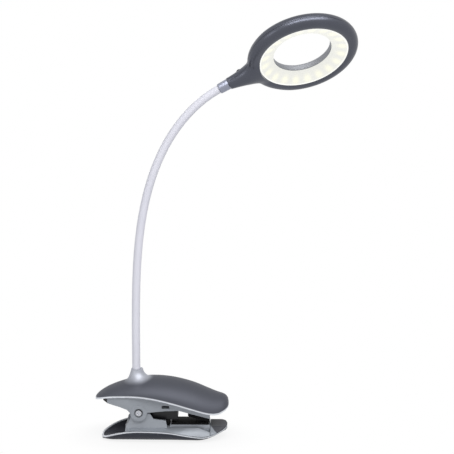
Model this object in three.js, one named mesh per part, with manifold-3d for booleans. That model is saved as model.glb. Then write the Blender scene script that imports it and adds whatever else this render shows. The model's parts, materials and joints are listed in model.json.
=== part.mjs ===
// Clip-on reading lamp: a sprung clip, a bendable gooseneck and a ring-shaped LED head.
//
// Millimetres, +Z up. The lamp rests on the flat underside of the clip's lower arm (Z = 0), with the
// foot of the gooseneck above the origin. +X points to the jaw and the head, +Y is the far side.

import * as THREE from 'three';
import { mergeVertices } from 'three/addons/utils/BufferGeometryUtils.js';
import Module from 'manifold-3d';

const wasm = await Module();
wasm.setup();

const lamp = new THREE.Group();

// ---------------------------------------------------------------------------------------------
// Driving dimensions
// ---------------------------------------------------------------------------------------------

const clearance = 0.3;          // between two pieces that rest on or pass each other
const shellWall = 1.8;          // moulded covers
const frameWall = 2.0;          // moulded frames of the clip

// Upper arm: a domed leaf
const upper = { tail: -41.8, front: 91.0, halfWidth: 26.4, taper: 0.2 };
const upperCrown = 18.3;        // height of the dome over its rim, at mid length
const upperCrownTaper = 0.5;    // the dome is higher over the jaw than over the lever
const upperRimPoints = [[-41.8, 40], [-27, 44.4], [-4, 46.6], [14, 45.6], [33, 41.8], [53, 35.9], [70, 30.4],
  [81, 29.4], [91, 33.5]];
const plateInset = 1.6;         // from the cover's inner wall to the frame's top plate
const plateThickness = 1.6;

// Lower arm: a shallow dish
const lower = { tail: -35.5, front: 89.6, halfWidth: 24.3, taper: -0.05 };
const lowerRimPoints = [[-35.5, 2.6], [-20, 9.2], [-4, 12.6], [14, 13.1], [33, 11.8], [50, 8.4], [66, 5.8],
  [78, 8.2], [89.6, 13.2]];
const soleStart = -22;          // the flat underside runs from here
const soleEnd = 60;             // to here
const soleHalfWidth = 9.5;      // to each side of the middle
const deckHeight = 14.3;        // Z of the lower frame's flat top
const deckHalfWidth = 15.6;
const deckStart = -11;
const deckEnd = 72.3;
const noseTop = 14.4;
const noseHalfWidth = 10.5;

// Hinge of the clip
const pivot = { x: 2.3, z: 30.2 };
const cheekOuter = 18.0;        // Y of the upper frame's outer faces
const cheekGap = 0.6;           // between an upper cheek and the lower ear inside it
const bossRadius = 8.2;
const bossProud = 0.6;          // the round boss stands this far out of the cheek
const recessRadius = 4.6;
const recessDepth = 1.2;
const pinRadius = 2.2;
const pinBore = 1.7;
const screwHeadRadius = 3.7;
const coilRadius = 4.1;
const coilWire = 0.9;           // radius of the spring's wire
const coilPitch = 2.3;
const coilWholeTurns = 4;

// Jaw
const padHalfWidth = 9.5;
const lowerPadStart = 34.5;
const lowerPadEnd = 71.0;
const lowerPadTop = 17.4;
const lowerPadThickness = 3.2;
const trayWall = 1.4;
const trayRim = 15.9;           // Z of the tray's edge round the lower pad
const upperPadStart = 50.5;
const upperPadEnd = 71.8;
const upperPadSlope = 17;       // degrees, how far the closed jaw gapes towards the hinge
const jawPlate = 1.8;

// Electrics in the clip
const batteryBox = { start: 13.2, end: 40.6, halfWidth: 10.0, bottom: 21.2, wall: 1.2 };
const cellHeight = 8.0;
const boardThickness = 1.2;
const inlet = { x: 28.8, z: 36.4, width: 7.6, height: 3.1 };
const inletDepth = 5.6;

// Gooseneck
const hoseX = -0.8;             // the gooseneck's foot, along X
const collarX = 0.0;
const collarTop = 70.4;         // Z of the collar's mouth
const collarRadius = 5.7;
const collarSweep = 3.4;        // the collar's foot spreads this far towards the jaw
const anchorRadius = 3.6;
const hoseRadius = 4.0;
const hoseBore = 2.9;
const coreRadius = 2.6;
const hoseLength = 302.0;       // visible length, along its curve
const hoseTilt = 61.0;          // degrees from upright at the head
const hoseBendPower = 2.65;     // the bend gathers towards the head
const hoseJoints = 8;
const firstJoint = 16.0;        // along the hose from the collar's mouth
const lastJoint = 286.0;
const jointBall = 1.5;
const sleeveSetBack = 0.85;     // each sleeve ends this far from the joint's centre
const coreSetBack = 0.6;

// Head
const ferruleRadius = 4.6;
const ferruleLength = 10.0;
const spigotRadius = 3.2;
const spigotLength = 7.6;
const neckLength = 23.9;        // from the swivel seam to the ring's edge
const neckRadius = 5.0;
const neckWall = 1.0;
const neckFlare = 26.0;         // how far the neck spreads to each side where it runs into the ring
const neckDroop = 11.0;         // degrees between the neck and the plane of the ring
const headRoll = 39.5;          // degrees about the neck, from facing straight down
const ringRadius = 52.4;
const holeRadius = 27.6;
const ringFront = -6.75;        // faces of the ring, from the plane the neck runs into
const ringBack = 8.2;
const mouthRadius = 43.7;       // the opening the diffuser looks out of
const boardInner = 30.0;
const boardOuter = 41.0;
const ledCount = 20;
const ledRadius = 37.5;
const buttonPlace = 14.0;       // along the neck from the swivel seam
const buttonRadius = 2.6;
const buttonTravel = 0.6;
const buttonFlange = 3.6;        // the button's flange over the neck's middle line

// ---------------------------------------------------------------------------------------------
// Finishes
// ---------------------------------------------------------------------------------------------

const finish = (color, roughness, metalness) => new THREE.MeshStandardMaterial({ color, roughness, metalness });
const darkShell = () => finish(0x5d5f67, 0.35, 0.5);
const paleFrame = () => finish(0x969ba2, 0.4, 0.5);
const blackRubber = () => finish(0x0c0c0d, 0.8, 0);
const blackPlastic = () => finish(0x17181a, 0.5, 0);
const noseRubber = () => finish(0x55565b, 0.6, 0);
const steel = () => finish(0xc8c8cc, 0.2, 1);
const hoseWhite = () => finish(0xe2e2ea, 0.5, 0);
const diffuserWhite = () => finish(0xfdfdf2, 0.5, 0);
const boardGreen = () => finish(0x1f5a3a, 0.6, 0);
const cellFoil = () => finish(0xb9bcc2, 0.4, 0.6);
const wireRed = () => finish(0xa02020, 0.6, 0);

// ---------------------------------------------------------------------------------------------
// Solid helpers
// ---------------------------------------------------------------------------------------------

const radians = THREE.MathUtils.degToRad;
const point = (x, y, z) => new THREE.Vector3(x, y, z);
const upward = point(0, 0, 1);

// A closed three.js geometry as a solid: positions only, shared corners merged, slivers left out
function solid(geometry) {
  const bare = geometry.clone();
  bare.deleteAttribute('normal');
  bare.deleteAttribute('uv');
  const merged = mergeVertices(bare, 1e-4);
  const index = merged.index.array;
  const triangles = [];
  for (let i = 0; i < index.length; i += 3) {
    const [a, b, c] = [index[i], index[i + 1], index[i + 2]];
    if (a !== b && b !== c && c !== a) triangles.push(a, b, c);
  }
  return new wasm.Manifold(new wasm.Mesh({
    numProp: 3,
    vertProperties: Float32Array.from(merged.attributes.position.array),
    triVerts: Uint32Array.from(triangles),
  }));
}

function geometryOf(body) {
  const mesh = body.getMesh();
  const geometry = new THREE.BufferGeometry();
  geometry.setAttribute('position', new THREE.BufferAttribute(Float32Array.from(mesh.vertProperties), 3));
  geometry.setIndex(new THREE.BufferAttribute(Uint32Array.from(mesh.triVerts), 1));
  return geometry;
}

function addPart(name, body, material, parent = lamp) {
  const mesh = new THREE.Mesh(geometryOf(body), material);
  mesh.name = name;
  parent.add(mesh);
}

function box(x0, x1, y0, y1, z0, z1) {
  const geometry = new THREE.BoxGeometry(x1 - x0, y1 - y0, z1 - z0);
  geometry.translate((x0 + x1) / 2, (y0 + y1) / 2, (z0 + z1) / 2);
  return solid(geometry);
}

// A cylinder from one point to another
function rod(from, to, radius, sides = 20) {
  const along = to.clone().sub(from);
  const geometry = new THREE.CylinderGeometry(radius, radius, along.length(), sides);
  geometry.translate(0, along.length() / 2, 0);
  geometry.applyQuaternion(new THREE.Quaternion().setFromUnitVectors(point(0, 1, 0), along.normalize()));
  geometry.translate(from.x, from.y, from.z);
  return solid(geometry);
}

const upright = (x, y, z0, z1, radius, sides) => rod(point(x, y, z0), point(x, y, z1), radius, sides);

function ball(centre, radius) {
  const geometry = new THREE.SphereGeometry(radius, 10, 6);
  geometry.translate(centre.x, centre.y, centre.z);
  return solid(geometry);
}

// An outline in X and Z, as thick as y0 to y1
function plate(outline, y0, y1) {
  const shape = new THREE.Shape(outline.map(([x, z]) => new THREE.Vector2(x, z)));
  const geometry = new THREE.ExtrudeGeometry(shape, { depth: y1 - y0, bevelEnabled: false });
  geometry.rotateX(Math.PI / 2);
  geometry.translate(0, y1, 0);
  return solid(geometry);
}

// A body turned about the line from `from` along `direction`; the profile is a loop of [radius, along]
function turned(profile, from, direction, sides = 24) {
  const loop = [...profile, profile[0]].map(([r, a]) => new THREE.Vector2(r, a));
  const geometry = new THREE.LatheGeometry(loop, sides);
  geometry.applyQuaternion(new THREE.Quaternion().setFromUnitVectors(point(0, 1, 0), direction));
  geometry.translate(from.x, from.y, from.z);
  const body = solid(geometry);
  return body.volume() > 0 ? body : solid(flipped(geometry));
}

// The same surface with its faces turned over
function flipped(geometry) {
  const index = geometry.index.array;
  for (let i = 0; i < index.length; i += 3) [index[i], index[i + 1]] = [index[i + 1], index[i]];
  return geometry;
}

// A bar through stations along X; corner(x, side, level) gives [y, z] for side and level of -1 or 1
function bar(stations, corner) {
  const count = stations.length - 1;
  const geometry = new THREE.BoxGeometry(count, 1, 1, count, 1, 1);
  const place = geometry.attributes.position;
  for (let i = 0; i < place.count; i += 1) {
    const x = stations[Math.round(place.getX(i) + count / 2)];
    const [y, z] = corner(x, Math.sign(place.getY(i)), Math.sign(place.getZ(i)));
    place.setXYZ(i, x, y, z);
  }
  return solid(geometry);
}

// A run of round section along a curve, hollow if a bore is given
function tube(curve, radius, steps, sides, bore = 0) {
  const section = new THREE.Shape();
  section.absarc(0, 0, radius, 0, 2 * Math.PI);
  if (bore > 0) section.holes.push(new THREE.Path().absarc(0, 0, bore, 0, 2 * Math.PI, true));
  return solid(new THREE.ExtrudeGeometry(section, {
    steps, curveSegments: sides / 2, bevelEnabled: false, extrudePath: curve,
  }));
}

const evenly = (a, b, count) => Array.from({ length: count + 1 }, (_, i) => a + ((b - a) * i) / count);

// A smooth line through points of [x, z], read as a height at any x
function heightLine(points) {
  const line = new THREE.SplineCurve(points.map(([x, z]) => new THREE.Vector2(x, z))).getPoints(96);
  return (x) => {
    const after = line.findIndex((p) => p.x >= x);
    if (after <= 0) return after === 0 ? line[0].y : line[line.length - 1].y;
    const [p, q] = [line[after - 1], line[after]];
    return p.y + ((q.y - p.y) * (x - p.x)) / (q.x - p.x);
  };
}

// A straight-edged line through points of [x, z], read the same way
function brokenLine(points) {
  return (x) => {
    const after = points.findIndex((p) => p[0] >= x);
    if (after <= 0) return after === 0 ? points[0][1] : points[points.length - 1][1];
    const [p, q] = [points[after - 1], points[after]];
    return p[1] + ((q[1] - p[1]) * (x - p[0])) / (q[0] - p[0]);
  };
}

// ---------------------------------------------------------------------------------------------
// The two leaves of the clip
// ---------------------------------------------------------------------------------------------

const inset = (outline, by) => ({
  ...outline, tail: outline.tail + by, front: outline.front - by, halfWidth: outline.halfWidth - by,
});

// Half width of a leaf seen from above: round at the jaw, narrower at the lever tip
function leafWidth(outline, x) {
  const s = alongLeaf(outline, x);
  const widest = 1 + 0.19 * outline.taper;
  return (outline.halfWidth * Math.pow(1 - s * s, 0.3) * (1 + outline.taper * s)) / widest;
}

// Place along a leaf, -1 at the lever tip and 1 at the jaw tip
function alongLeaf(outline, x) {
  return THREE.MathUtils.clamp((2 * x - outline.tail - outline.front) / (outline.front - outline.tail), -1, 1);
}

// A leaf-shaped body: a sphere with its poles at the two tips, one side flattened to the rim and the
// other drawn out to the height rise(x), up or down, and cut off flat at `floor`
function leaf(outline, rim, rise, floor = -Infinity) {
  const geometry = new THREE.SphereGeometry(1, 20, 18);
  geometry.rotateZ(Math.PI / 2);
  const place = geometry.attributes.position;
  for (let i = 0; i < place.count; i += 1) {
    const s = place.getX(i);
    const x = (outline.tail + outline.front) / 2 + (s * (outline.front - outline.tail)) / 2;
    const spread = Math.hypot(place.getY(i), place.getZ(i));
    const across = spread < 1e-6 ? 0 : place.getY(i) / spread;
    const height = spread < 1e-6 ? 0 : place.getZ(i) / spread;
    const bulge = Math.max(0, height * Math.sign(rise(x)));
    place.setXYZ(i, x, leafWidth(outline, x) * across, Math.max(floor, rim(x) + bulge * rise(x)));
  }
  return solid(geometry);
}

const upperRim = heightLine(upperRimPoints);
const lowerRim = heightLine(lowerRimPoints);

function upperRise(x) {
  const s = alongLeaf(upper, x);
  return 0.05 + upperCrown * Math.pow(1 - s * s, 0.38) * (1 + upperCrownTaper * s);
}

// Depth of the dish's belly under its rim: flat underneath, rising to both tips
function lowerSink(x) {
  const tail = Math.max(0, (soleStart - x) / (soleStart - lower.tail));
  const front = Math.max(0, (x - soleEnd) / (lower.front - soleEnd));
  const depth = lowerRim(x) - 1.9 * tail ** 2 - 11.6 * front ** 1.6;
  const flat = Math.min(0.9, soleHalfWidth / Math.max(soleHalfWidth, leafWidth(lower, x)));
  return Math.min(-0.05, -depth / Math.sqrt(1 - flat * flat));
}

// ---------------------------------------------------------------------------------------------
// Lower arm: dish-shaped cover, frame with ears and pad tray
// ---------------------------------------------------------------------------------------------

const lowerScrews = [-9, 52];
const footBossHeight = 4.4;
const screwShank = 1.2;

function lowerShell() {
  const outside = leaf(lower, lowerRim, lowerSink, 0);
  const innerSink = (x) => Math.min(-0.5, lowerSink(x) - 1 + shellWall);
  const hollow = leaf(inset(lower, shellWall), (x) => lowerRim(x) + 1, innerSink, shellWall);
  let shell = outside.subtract(hollow);
  for (const x of lowerScrews) {
    shell = shell.add(upright(x, 0, 0.5, footBossHeight, 4.2).intersect(outside));
    shell = shell.subtract(upright(x, 0, -1, 2.4, 3.0)).subtract(upright(x, 0, -1, 9, screwShank + clearance));
  }
  return shell;
}

const earInner = cheekOuter - 2 * frameWall - cheekGap;
const earOuter = earInner + frameWall;
const deckTop = brokenLine([[deckStart, deckHeight], [61.3, deckHeight], [deckEnd, 9.6]]);
const deckFoot = (x) => lowerRim(x) + 2 * clearance;
const deckFootWidth = (x) => leafWidth(lower, x) - 0.5;

// The frame's hollow body: a flat deck whose sides slope out to the rim of the dish
function lowerDeck() {
  const stations = [deckStart, -8, -2, 6, 14, 24, 33, 42, 50, 56, 61.3, 66, deckEnd];
  const topWidth = (x) => Math.min(deckHalfWidth, deckFootWidth(x) - 1);
  const outside = bar(stations, (x, side, level) => (
    level > 0 ? [side * topWidth(x), deckTop(x)] : [side * deckFootWidth(x), Math.min(deckFoot(x), deckTop(x) - 0.4)]
  ));
  const hollow = bar(stations, (x, side, level) => (
    level > 0 ? [side * (topWidth(x) - frameWall), deckTop(x) - frameWall]
      : [side * (deckFootWidth(x) - frameWall), deckFoot(x) - 6]
  ));
  return outside.subtract(hollow);
}

function lowerFrame() {
  const ear = [[-10.6, 12], [-10.5, 16.4], [-8.2, 19.6], [-5.2, 26], [9, 29.4], [13.3, 28.9], [16.5, 23.2],
    [28.8, 21.6], [30.7, 12]];
  const slot = box(31, 66, -14.4, 14.4, deckHeight - frameWall - 3, deckHeight + 1);
  const tray = box(lowerPadStart - clearance - trayWall, lowerPadEnd + clearance + trayWall - 0.4,
    -padHalfWidth - clearance - trayWall, padHalfWidth + clearance + trayWall, deckHeight - 4.5, trayRim);
  const bed = box(lowerPadStart - clearance, lowerPadEnd + clearance, -padHalfWidth - clearance,
    padHalfWidth + clearance, lowerPadTop - lowerPadThickness - clearance, trayRim + 1);
  let frame = lowerDeck().subtract(slot).add(box(28.8, 34, -15, 15, 10.5, deckHeight - 0.2)).add(tray).subtract(bed);
  for (const side of [-1, 1]) {
    const y0 = side > 0 ? earInner : -earOuter;
    const lug = rod(point(pivot.x, y0, pivot.z), point(pivot.x, y0 + frameWall, pivot.z), bossRadius - 0.8);
    frame = frame.add(plate(ear, y0, y0 + frameWall)).add(lug);
  }
  for (const x of lowerScrews) {
    frame = frame.add(upright(x, 0, footBossHeight + clearance, 12.4, 3.2));
    frame = frame.subtract(upright(x, 0, 0, 10.6, screwShank + clearance));
  }
  const pinHole = rod(point(pivot.x, -30, pivot.z), point(pivot.x, 30, pivot.z), pinRadius + 0.15);
  return frame.subtract(pinHole);
}

// The rubber block that fills the jaw tip in front of the pad
function nose() {
  const stations = [deckEnd + clearance, 75, 78, 81, 84, 86.5, 88.5, 89.7];
  return bar(stations, (x, side, level) => {
    const foot = Math.max(0.8, leafWidth(lower, x) - 0.3);
    if (level > 0) return [side * Math.min(noseHalfWidth, foot * 0.8), noseTop];
    return [side * foot, Math.min(noseTop - 1, lowerRim(x) + clearance)];
  });
}

// A flat-headed self-tapping screw standing on its head at z, pointing up
function tappingScrew(x, z, headRadius, length) {
  const profile = [[0, 0], [headRadius, 0], [headRadius, 1.4], [screwShank, 1.4], [screwShank, length - 1], [0, length]];
  return turned(profile, point(x, 0, z), upward, 14);
}

addPart('lower_shell', lowerShell(), darkShell());
addPart('lower_frame', lowerFrame(), paleFrame());
addPart('lower_pad', box(lowerPadStart, lowerPadEnd, -padHalfWidth, padHalfWidth, lowerPadTop - lowerPadThickness,
  lowerPadTop), blackRubber());
addPart('nose_bumper', nose(), noseRubber());
addPart('rest_block', box(28.8, lowerPadStart - clearance - trayWall - clearance, -padHalfWidth, padHalfWidth,
  deckHeight + clearance, batteryBox.bottom - clearance), blackRubber());
lowerScrews.forEach((x, i) => addPart(`lower_screw_${i + 1}`, tappingScrew(x, 0.6, 2.6, 8.8), steel()));

// ---------------------------------------------------------------------------------------------
// Hinge: tubular pin, a shoulder screw in each end and the torsion spring that shuts the jaw
// ---------------------------------------------------------------------------------------------

const pinEnd = earOuter + cheekGap - 0.2;

addPart('hinge_pin', rod(point(pivot.x, -pinEnd, pivot.z), point(pivot.x, pinEnd, pivot.z), pinRadius)
  .subtract(rod(point(pivot.x, -20, pivot.z), point(pivot.x, 20, pivot.z), pinBore)), steel());

function pivotScrew(side) {
  const floor = cheekOuter + bossProud - recessDepth;
  const profile = [[0, 10], [pinBore - clearance, 10.6], [pinBore - clearance, pinEnd + 0.1],
    [pinRadius, pinEnd + 0.1], [pinRadius, floor + 0.2], [screwHeadRadius, floor + 0.2],
    [screwHeadRadius, floor + 0.8], [2.6, floor + 1.4], [0, floor + 1.5]];
  const body = turned(profile, point(pivot.x, 0, pivot.z), point(0, side, 0), 16);
  const end = side * (floor + 1.2);
  const cross = box(-2, 2, -0.6, 0.6, -0.35, 0.35).add(box(-0.35, 0.35, -0.6, 0.6, -2, 2));
  return body.subtract(cross.translate([pivot.x, end, pivot.z]));
}

addPart('pivot_screw_near', pivotScrew(-1), steel());
addPart('pivot_screw_far', pivotScrew(1), steel());

// Centre line of the spring: lower leg, coils round the pin, upper leg; both legs leave at a tangent
class SpringLine extends THREE.Curve {
  constructor(startAngle, endAngle, lowerEnd, upperEnd) {
    super();
    Object.assign(this, { startAngle, endAngle, lowerEnd, upperEnd });
  }

  getPoint(t, target = new THREE.Vector3()) {
    const legShare = 0.12;
    const turn = THREE.MathUtils.clamp((t - legShare) / (1 - 2 * legShare), 0, 1);
    const angle = this.startAngle + turn * (this.endAngle - this.startAngle);
    const half = (coilPitch * (this.endAngle - this.startAngle)) / (4 * Math.PI);
    const across = -half + 2 * half * turn;
    target.set(pivot.x + coilRadius * Math.cos(angle), across, pivot.z + coilRadius * Math.sin(angle));
    const overshoot = t < legShare ? legShare - t : Math.max(0, t - 1 + legShare);
    const reach = t < legShare ? this.lowerEnd : this.upperEnd;
    const way = t < legShare ? -1 : 1;
    target.x += (-way * Math.sin(angle) * reach * overshoot) / legShare;
    target.z += (way * Math.cos(angle) * reach * overshoot) / legShare;
    return target;
  }
}

function torsionSpring() {
  const startAngle = radians(-30);
  const endAngle = radians(50 + 360 * coilWholeTurns);
  const lowerEnd = (pivot.z + coilRadius * Math.sin(startAngle) - deckHeight - coilWire - clearance)
    / Math.cos(startAngle);
  const ceiling = upperRim(pivot.x - 11) + clearance - coilWire - clearance;
  const upperEnd = (ceiling - pivot.z - coilRadius * Math.sin(endAngle)) / Math.cos(endAngle);
  return tube(new SpringLine(startAngle, endAngle, lowerEnd, upperEnd - 0.6), coilWire, 56, 6);
}

addPart('torsion_spring', torsionSpring(), steel());

// ---------------------------------------------------------------------------------------------
// Upper arm: domed cover with the gooseneck's collar, frame with cheeks and jaw
// ---------------------------------------------------------------------------------------------

const upperScrews = [-21, 62];
const nutFace = 56.0;           // Z of the flat the gooseneck's nut bears on
const plateBottom = (x) => upperRim(x) + clearance;
const plateTop = (x) => plateBottom(x) + plateThickness;

// The collar: a short pipe whose foot flares into the dome and spreads towards the jaw
function collar() {
  const profile = [[0, nutFace], [7.5, nutFace], [12.4, 57.2], [10.2, 60.2], [8.5, 62.2], [7.2, 64.4], [6.4, 66.8],
    [collarRadius + 0.2, 69], [collarRadius, collarTop - 0.3], [collarRadius - 0.3, collarTop], [0, collarTop]];
  const geometry = new THREE.LatheGeometry(profile.map(([r, z]) => new THREE.Vector2(r, z)), 24);
  geometry.rotateX(Math.PI / 2);
  const place = geometry.attributes.position;
  for (let i = 0; i < place.count; i += 1) {
    const fall = THREE.MathUtils.clamp((67.5 - place.getZ(i)) / 8, 0, 1);
    place.setX(i, collarX + place.getX(i) + collarSweep * fall * fall);
  }
  return solid(geometry);
}

function upperShell() {
  const outside = leaf(upper, upperRim, upperRise);
  const hollow = leaf(inset(upper, shellWall), (x) => upperRim(x) - 1, (x) => upperRise(x) + 1 - shellWall);
  let shell = outside.subtract(hollow).add(collar());
  for (const x of upperScrews) {
    const foot = Math.max(plateTop(x - 3.2), plateTop(x + 3.2)) + clearance;
    shell = shell.add(upright(x, 0, foot, foot + 30, 3.2).intersect(outside));
    shell = shell.subtract(upright(x, 0, 20, plateTop(x) + 5, screwShank + clearance, 12));
  }
  shell = shell.subtract(upright(hoseX, 0, nutFace - 5, 61.6, anchorRadius + clearance));
  return shell.subtract(upright(hoseX, 0, 61.0, collarTop + 1, hoseRadius + clearance));
}

// The lower edge of a cheek, from the lever end over the hinge to the jaw
const cheekEdge = brokenLine([[-33, 41.4], [-28.5, 38.6], [-16.1, 35.9], [-9.2, 33.6], [-5, 29.2], [13.3, 30.8],
  [28.1, 32.3], [41.3, 32.8], [72.3, 24.6]]);
const cheekY = (x) => Math.min(cheekOuter, leafWidth(upper, x) - 2.7);

const tailNarrowing = (x) => 0.25 * Math.max(0, -26 - x);

function upperFrame() {
  const stations = [-33, -28.5, -22, -16.1, -9.2, -5, 4, 13.3, 20, 28.1, 35, 41.3, 48, 54, 60, 66, 72.3];
  const plateWidth = (x) => leafWidth(upper, x) - shellWall - plateInset - tailNarrowing(x);
  const top = bar(stations, (x, side, level) => [side * plateWidth(x), level > 0 ? plateTop(x) : plateBottom(x)]);
  let frame = top;
  for (const way of [-1, 1]) {
    frame = frame.add(bar(stations, (x, side, level) => {
      const y = cheekY(x) - (side * way > 0 ? 0 : frameWall);
      return [way * y, level > 0 ? plateBottom(x) + 0.4 : cheekEdge(x)];
    }));
    const inner = way * (cheekOuter - frameWall);
    const outer = way * (cheekOuter + bossProud);
    frame = frame.add(rod(point(pivot.x, inner, pivot.z), point(pivot.x, outer, pivot.z), bossRadius, 28));
    const floor = way * (cheekOuter + bossProud - recessDepth);
    frame = frame.subtract(rod(point(pivot.x, floor, pivot.z), point(pivot.x, way * 30, pivot.z), recessRadius, 24));
  }
  frame = frame.subtract(rod(point(pivot.x, -30, pivot.z), point(pivot.x, 30, pivot.z), pinRadius + 0.15));
  const jaw = plate([[upperPadStart - 1, cheekEdge(upperPadStart - 1)], [72.3, cheekEdge(72.3)],
    [72.3, cheekEdge(72.3) + jawPlate], [upperPadStart - 1, cheekEdge(upperPadStart - 1) + jawPlate]],
  -cheekOuter + 1, cheekOuter - 1);
  frame = frame.add(jaw);
  frame = frame.subtract(box(inlet.x - inlet.width / 2, inlet.x + inlet.width / 2, -30,
    -cheekOuter + frameWall + 0.5, inlet.z - inlet.height / 2, inlet.z + inlet.height / 2));
  frame = frame.subtract(upright(hoseX, 0, 40, 60, 9, 24));
  for (const x of upperScrews) frame = frame.subtract(upright(x, 0, 20, 60, screwShank + clearance, 12));
  const access = upright(upperScrews[1], 0, 20, plateBottom(upperScrews[1]) - 0.01, 3.4, 14);
  return frame.subtract(access);
}

function upperPad() {
  const rise = Math.tan(radians(upperPadSlope));
  const bottom = (x) => lowerPadTop + clearance + (upperPadEnd - x) * rise;
  return plate([[upperPadStart, bottom(upperPadStart)], [upperPadEnd, bottom(upperPadEnd)],
    [upperPadEnd, cheekEdge(upperPadEnd) - clearance], [upperPadStart, cheekEdge(upperPadStart) - clearance]],
  -padHalfWidth, padHalfWidth);
}

addPart('upper_shell', upperShell(), darkShell());
addPart('upper_frame', upperFrame(), paleFrame());
addPart('upper_pad', upperPad(), blackRubber());
upperScrews.forEach((x, i) => {
  const seat = Math.min(plateBottom(x - 2.6), plateBottom(x + 2.6)) - clearance;
  addPart(`upper_screw_${i + 1}`, tappingScrew(x, seat - 1.4, 2.6, 8.6), steel());
});

// ---------------------------------------------------------------------------------------------
// Electrics in the clip: battery box with its cell, control board, charging inlet
// ---------------------------------------------------------------------------------------------

const boardZ = inlet.z - inlet.height / 2 - boardThickness;

function batteryHolder() {
  const { start, end, halfWidth, bottom, wall } = batteryBox;
  const outside = bar(evenly(start, end, 4), (x, side, level) => (
    [side * halfWidth, level > 0 ? plateBottom(x) - clearance : bottom]
  ));
  const hollow = box(start + wall, end - wall, -halfWidth + wall, halfWidth - wall, bottom + wall, 60);
  const windowTop = inlet.z + inlet.height / 2 + 0.6;
  const window = box(inlet.x - 5.2, inlet.x + 5.2, -halfWidth - 1, 0, boardZ - 0.6, windowTop);
  const leadNotch = box(start - 1, start + wall + 1, 1.8, 6.2, 38, 60);
  return outside.subtract(hollow).subtract(window).subtract(leadNotch);
}

const boxInside = batteryBox.wall + clearance;

addPart('battery_box', batteryHolder(), blackPlastic());
addPart('battery_cell', box(batteryBox.start + boxInside, batteryBox.end - boxInside,
  -batteryBox.halfWidth + boxInside, batteryBox.halfWidth - boxInside,
  batteryBox.bottom + boxInside, batteryBox.bottom + boxInside + cellHeight), cellFoil());
addPart('control_board', box(batteryBox.start + boxInside, batteryBox.end - boxInside,
  -batteryBox.halfWidth + boxInside, batteryBox.halfWidth - boxInside, boardZ, boardZ + boardThickness)
  .add(box(inlet.x - 4.6, inlet.x + 4.6, -cheekOuter + frameWall + clearance, 0, boardZ, boardZ + boardThickness)),
boardGreen());
addPart('charging_inlet', box(inlet.x - inlet.width / 2 + clearance, inlet.x + inlet.width / 2 - clearance,
  -cheekOuter + frameWall + clearance, -cheekOuter + frameWall + clearance + inletDepth,
  inlet.z - inlet.height / 2 + clearance, inlet.z + inlet.height / 2 - clearance)
  .subtract(box(inlet.x - inlet.width / 2 + 0.6, inlet.x + inlet.width / 2 - 0.6, -30,
    -cheekOuter + frameWall + inletDepth - 0.6, inlet.z - inlet.height / 2 + 0.6, inlet.z + inlet.height / 2 - 0.6)),
steel());

// ---------------------------------------------------------------------------------------------
// Gooseneck: a bendable core of ball-jointed lengths inside a soft sleeve, its anchor and nut
// ---------------------------------------------------------------------------------------------

const alongHose = (s) => THREE.MathUtils.clamp(s, 0, hoseLength) / hoseLength;
const hoseAngle = (s) => radians(hoseTilt) * Math.pow(alongHose(s), hoseBendPower);
const hoseDirection = (s) => point(Math.sin(hoseAngle(s)), 0, Math.cos(hoseAngle(s)));

// The point of the hose's centre line at the length s from the collar's mouth
function hosePoint(s) {
  const place = point(hoseX, 0, collarTop);
  const pieces = 60;
  for (let i = 0; i < pieces; i += 1) {
    place.addScaledVector(hoseDirection((s * (i + 0.5)) / pieces), s / pieces);
  }
  return place;
}

class HoseLine extends THREE.Curve {
  constructor(from, to) {
    super();
    Object.assign(this, { from, to });
  }

  getPoint(t, target = new THREE.Vector3()) {
    return target.copy(hosePoint(this.from + t * (this.to - this.from)));
  }
}

const jointPlaces = evenly(firstJoint, lastJoint, hoseJoints - 1);
const socket = (s) => ball(hosePoint(s), jointBall + clearance);
const crimpDepth = 5.4;         // how far the last core reaches into the ferrule
const anchorFoot = 50.5 - collarTop;
const anchorHead = 61.2 - collarTop;

function anchor() {
  const foot = rod(hosePoint(anchorFoot), hosePoint(anchorHead), anchorRadius);
  const core = rod(hosePoint(anchorHead - 1), hosePoint(jointPlaces[0] - coreSetBack), coreRadius, 14);
  return foot.add(core).subtract(socket(jointPlaces[0]));
}

function coreLength(i) {
  const end = i < hoseJoints - 1 ? jointPlaces[i + 1] - coreSetBack : hoseLength + crimpDepth;
  const run = tube(new HoseLine(jointPlaces[i] + coreSetBack, end), coreRadius, i < 4 ? 1 : 3, 10);
  let core = run.add(ball(hosePoint(jointPlaces[i]), jointBall));
  if (i < hoseJoints - 1) core = core.subtract(socket(jointPlaces[i + 1]));
  return core;
}

function sleeveLength(i) {
  const start = i < 0 ? anchorHead + clearance : jointPlaces[i] + sleeveSetBack;
  const end = i < hoseJoints - 1 ? jointPlaces[i + 1] - sleeveSetBack : hoseLength - clearance;
  return tube(new HoseLine(start, end), hoseRadius, i < 4 ? 1 : 3, 16, hoseBore);
}

function hoseNut() {
  return upright(hoseX, 0, nutFace - 4.2, nutFace - clearance, 6.4, 6)
    .subtract(upright(hoseX, 0, nutFace - 6, nutFace, anchorRadius + 0.2));
}

addPart('hose_anchor', anchor(), steel());
addPart('hose_nut', hoseNut(), steel());
addPart('hose_sleeve_0', sleeveLength(-1), hoseWhite());
for (let i = 0; i < hoseJoints; i += 1) {
  addPart(`hose_core_${i + 1}`, coreLength(i), steel());
  addPart(`hose_sleeve_${i + 1}`, sleeveLength(i), hoseWhite());
}
const baseLeadPoints = [point(20, 4, boardZ + boardThickness + 1.0), point(15.5, 4, 40), point(9.5, 3, 42.6),
  point(3, 1, 44.6), point(hoseX, 0, hosePoint(anchorFoot).z - 1.2)];
addPart('base_lead', tube(new THREE.CatmullRomCurve3(baseLeadPoints), 0.7, 14, 6), wireRed());

// ---------------------------------------------------------------------------------------------
// Swivel between gooseneck and head: crimped ferrule, its spigot in the neck, retaining clip
// ---------------------------------------------------------------------------------------------

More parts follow.
